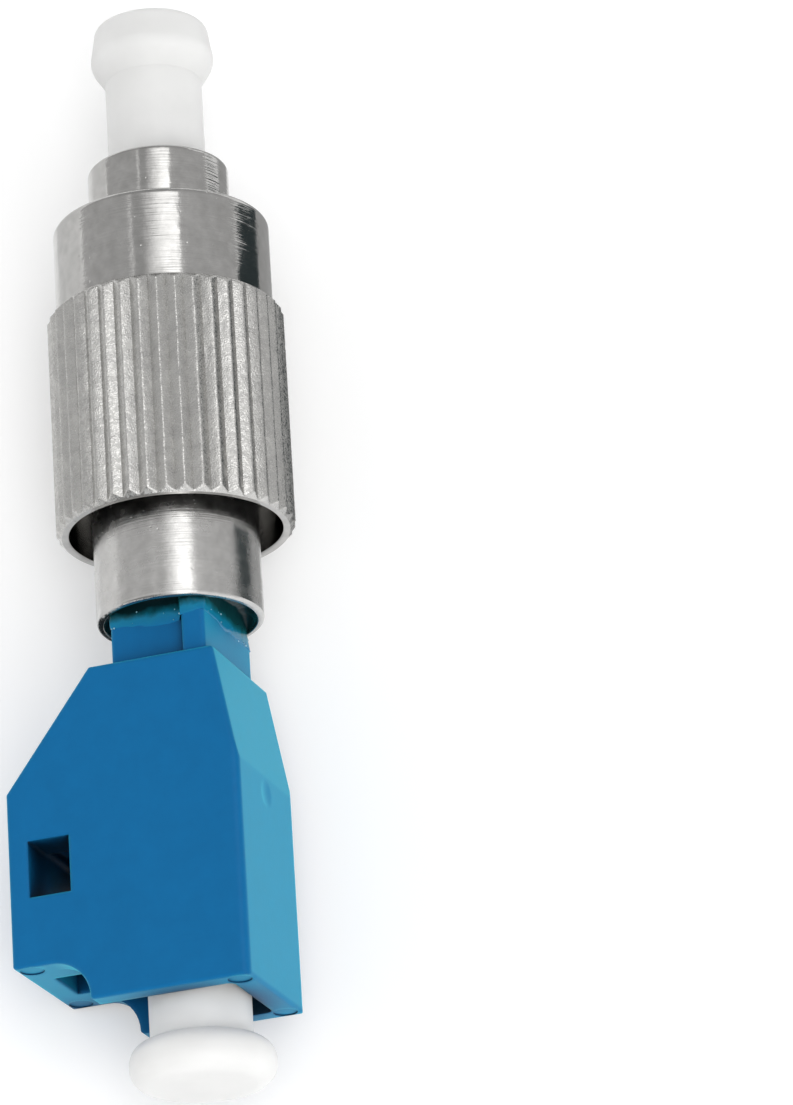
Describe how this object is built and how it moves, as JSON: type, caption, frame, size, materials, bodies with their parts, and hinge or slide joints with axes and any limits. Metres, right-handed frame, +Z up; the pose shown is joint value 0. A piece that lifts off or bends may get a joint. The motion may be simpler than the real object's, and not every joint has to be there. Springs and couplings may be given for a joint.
{
  "type": "hybrid fibre adapter",
  "caption": "Inline fibre adapter: a knurled screw-on plug at one end and a blue latched socket at the other, on one axis, with white dust caps.",
  "frame": {"origin": "on the surface the part lies on, under the middle of its box", "axes": "+X along the fibre from the socket to the plug, +Y towards the socket's latch side as it lies, +Z up"},
  "size_m": [0.0472, 0.0124, 0.01],
  "materials": {
    "blue_pbt": "moulded, satin",
    "grey_pei": "moulded",
    "white_ldpe": "moulded, waxy",
    "nickel_plated_brass": "turned and nickel plated",
    "spring_steel": "drawn wire",
    "zirconia": "ground",
    "clear_epoxy": "set, glossy",
    "silica_glass": "polished"
  },
  "bodies": {
    "root": {"lc_housing": "blue_pbt", "sleeve_holder": "grey_pei", "split_sleeve": "zirconia", "epoxy_bead": "clear_epoxy", "rear_collar": "nickel_plated_brass", "fc_barrel": "nickel_plated_brass", "spring_stop": "nickel_plated_brass", "ferrule_spring": "spring_steel"},
    "nut_ring": {"nut_snap_ring": "spring_steel"},
    "nut": {"coupling_nut": "nickel_plated_brass"},
    "ferrule": {"ferrule_flange": "nickel_plated_brass", "fc_ferrule": "zirconia", "lc_ferrule": "zirconia", "fibre_stub": "silica_glass"},
    "fc_cap": {"fc_dust_cap": "white_ldpe"},
    "lc_plug": {"lc_dust_plug": "white_ldpe"}
  },
  "joints": [
    {"name": "nut_slide", "type": "slide", "parent": "root", "child": "nut_ring", "axis": [1, 0, 0], "range_m": [0, 0.0035]},
    {"name": "nut_spin", "type": "hinge", "parent": "nut_ring", "child": "nut", "pos_m": [0, -0.0012, 0.005], "axis": [1, 0, 0], "continuous": true},
    {"name": "ferrule_float", "type": "slide", "parent": "root", "child": "ferrule", "axis": [-1, 0, 0], "range_m": [0, 0.0008], "stiffness_N_per_m": 500, "deforming": ["ferrule_spring"]},
    {"name": "fc_cap_pull", "type": "slide", "parent": "ferrule", "child": "fc_cap", "axis": [1, 0, 0], "range_m": [0, 0.006]},
    {"name": "lc_plug_pull", "type": "slide", "parent": "root", "child": "lc_plug", "axis": [-1, 0, 0], "range_m": [0, 0.0065]}
  ]
}
